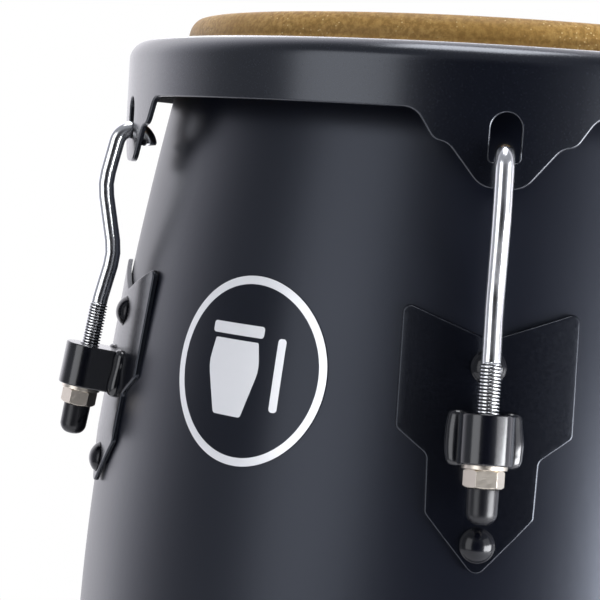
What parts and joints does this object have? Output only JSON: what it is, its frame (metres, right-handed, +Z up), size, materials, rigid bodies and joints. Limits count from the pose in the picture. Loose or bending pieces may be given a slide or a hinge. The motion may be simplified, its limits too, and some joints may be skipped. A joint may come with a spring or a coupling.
{
  "type": "conga drum",
  "caption": "Barrel-shaped conga drum with a rawhide head, a steel rim with ears, and hooked tuning rods held by lugs on side plates.",
  "frame": {"origin": "on the drum's axis at the floor, in the middle of the bottom opening", "axes": "+Z up along the drum's axis, -Y out through the middle of the badge, between two lugs"},
  "size_m": [0.3542, 0.3558, 0.711],
  "materials": {
    "shell_lacquer": "satin black lacquer over wood staves",
    "foot_rubber": "matte black rubber",
    "badge_foil": "glossy black foil with silver-white print",
    "rawhide": "natural golden-brown rawhide with specks",
    "rim_powder_coat": "satin black powder coat",
    "plate_powder_coat": "fine-textured satin black powder coat",
    "block_enamel": "glossy black enamel",
    "rod_chrome": "bright chrome",
    "nickel_steel": "warm nickel plate",
    "zinc_steel": "zinc-plated steel",
    "cap_rubber": "soft black rubber"
  },
  "bodies": {
    "drum": {"shell": "shell_lacquer", "foot_ring": "foot_rubber", "badge": "badge_foil", "hide_head": "rawhide", "flesh_hoop": "zinc_steel", "lug_welds": "plate_powder_coat", "bolt_washers": "zinc_steel", "bolt_nuts": "zinc_steel", "side_plate_1": "plate_powder_coat", "side_plate_2": "plate_powder_coat", "side_plate_3": "plate_powder_coat", "side_plate_4": "plate_powder_coat", "side_plate_5": "plate_powder_coat", "lug_block_1": "block_enamel", "lug_block_2": "block_enamel", "lug_block_3": "block_enamel", "lug_block_4": "block_enamel", "lug_block_5": "block_enamel", "tuning_washer_1": "nickel_steel", "tuning_washer_2": "nickel_steel", "tuning_washer_3": "nickel_steel", "tuning_washer_4": "nickel_steel", "tuning_washer_5": "nickel_steel", "plate_bolts_1": "block_enamel", "plate_bolts_2": "block_enamel", "plate_bolts_3": "block_enamel", "plate_bolts_4": "block_enamel", "plate_bolts_5": "block_enamel", "backing_plate_1": "zinc_steel", "backing_plate_2": "zinc_steel", "backing_plate_3": "zinc_steel", "backing_plate_4": "zinc_steel", "backing_plate_5": "zinc_steel"},
    "rim": {"rim": "rim_powder_coat"},
    "hook_1": {"tension_hook_1": "rod_chrome"},
    "nut_1": {"tuning_nut_1": "nickel_steel"},
    "cap_1": {"rod_cap_1": "cap_rubber"},
    "hook_2": {"tension_hook_2": "rod_chrome"},
    "nut_2": {"tuning_nut_2": "nickel_steel"},
    "cap_2": {"rod_cap_2": "cap_rubber"},
    "hook_3": {"tension_hook_3": "rod_chrome"},
    "nut_3": {"tuning_nut_3": "nickel_steel"},
    "cap_3": {"rod_cap_3": "cap_rubber"},
    "hook_4": {"tension_hook_4": "rod_chrome"},
    "nut_4": {"tuning_nut_4": "nickel_steel"},
    "cap_4": {"rod_cap_4": "cap_rubber"},
    "hook_5": {"tension_hook_5": "rod_chrome"},
    "nut_5": {"tuning_nut_5": "nickel_steel"},
    "cap_5": {"rod_cap_5": "cap_rubber"}
  },
  "joints": [
    {"name": "rim_slide", "type": "slide", "parent": "drum", "child": "rim", "axis": [0, 0, 1], "range_m": [0, 0.008]},
    {"name": "hook_1_slide", "type": "slide", "parent": "drum", "child": "hook_1", "axis": [-0.0919, 0.1266, 0.9877], "range_m": [0, 0.00865]},
    {"name": "nut_1_turn", "type": "hinge", "parent": "drum", "child": "nut_1", "pos_m": [0.10169, -0.13996, 0.5674], "axis": [0.0919, -0.1266, -0.9877], "range_deg": [0, 2491]},
    {"name": "cap_1_pull", "type": "slide", "parent": "drum", "child": "cap_1", "axis": [0.0919, -0.1266, -0.9877], "range_m": [0, 0.016]},
    {"name": "hook_2_slide", "type": "slide", "parent": "drum", "child": "hook_2", "axis": [-0.1488, -0.0483, 0.9877], "range_m": [0, 0.00865]},
    {"name": "nut_2_turn", "type": "hinge", "parent": "drum", "child": "nut_2", "pos_m": [0.16453, 0.05346, 0.5674], "axis": [0.1488, 0.0483, -0.9877], "range_deg": [0, 2491]},
    {"name": "cap_2_pull", "type": "slide", "parent": "drum", "child": "cap_2", "axis": [0.1488, 0.0483, -0.9877], "range_m": [0, 0.016]},
    {"name": "hook_3_slide", "type": "slide", "parent": "drum", "child": "hook_3", "axis": [0, -0.1564, 0.9877], "range_m": [0, 0.00865]},
    {"name": "nut_3_turn", "type": "hinge", "parent": "drum", "child": "nut_3", "pos_m": [0, 0.173, 0.5674], "axis": [0, 0.1564, -0.9877], "range_deg": [0, 2491]},
    {"name": "cap_3_pull", "type": "slide", "parent": "drum", "child": "cap_3", "axis": [0, 0.1564, -0.9877], "range_m": [0, 0.016]},
    {"name": "hook_4_slide", "type": "slide", "parent": "drum", "child": "hook_4", "axis": [0.1488, -0.0483, 0.9877], "range_m": [0, 0.00865]},
    {"name": "nut_4_turn", "type": "hinge", "parent": "drum", "child": "nut_4", "pos_m": [-0.16453, 0.05346, 0.5674], "axis": [-0.1488, 0.0483, -0.9877], "range_deg": [0, 2491]},
    {"name": "cap_4_pull", "type": "slide", "parent": "drum", "child": "cap_4", "axis": [-0.1488, 0.0483, -0.9877], "range_m": [0, 0.016]},
    {"name": "hook_5_slide", "type": "slide", "parent": "drum", "child": "hook_5", "axis": [0.0919, 0.1266, 0.9877], "range_m": [0, 0.00865]},
    {"name": "nut_5_turn", "type": "hinge", "parent": "drum", "child": "nut_5", "pos_m": [-0.10169, -0.13996, 0.5674], "axis": [-0.0919, -0.1266, -0.9877], "range_deg": [0, 2491]},
    {"name": "cap_5_pull", "type": "slide", "parent": "drum", "child": "cap_5", "axis": [-0.0919, -0.1266, -0.9877], "range_m": [0, 0.016]}
  ],
  "couplings": [
    {"joint": "hook_1_slide", "follows": "rim_slide", "ratio": 1.08},
    {"joint": "nut_1_turn", "follows": "rim_slide", "rad_per_m": 5428.7},
    {"joint": "hook_2_slide", "follows": "rim_slide", "ratio": 1.08},
    {"joint": "nut_2_turn", "follows": "rim_slide", "rad_per_m": 5428.7},
    {"joint": "hook_3_slide", "follows": "rim_slide", "ratio": 1.08},
    {"joint": "nut_3_turn", "follows": "rim_slide", "rad_per_m": 5428.7},
    {"joint": "hook_4_slide", "follows": "rim_slide", "ratio": 1.08},
    {"joint": "nut_4_turn", "follows": "rim_slide", "rad_per_m": 5428.7},
    {"joint": "hook_5_slide", "follows": "rim_slide", "ratio": 1.08},
    {"joint": "nut_5_turn", "follows": "rim_slide", "rad_per_m": 5428.7}
  ]
}
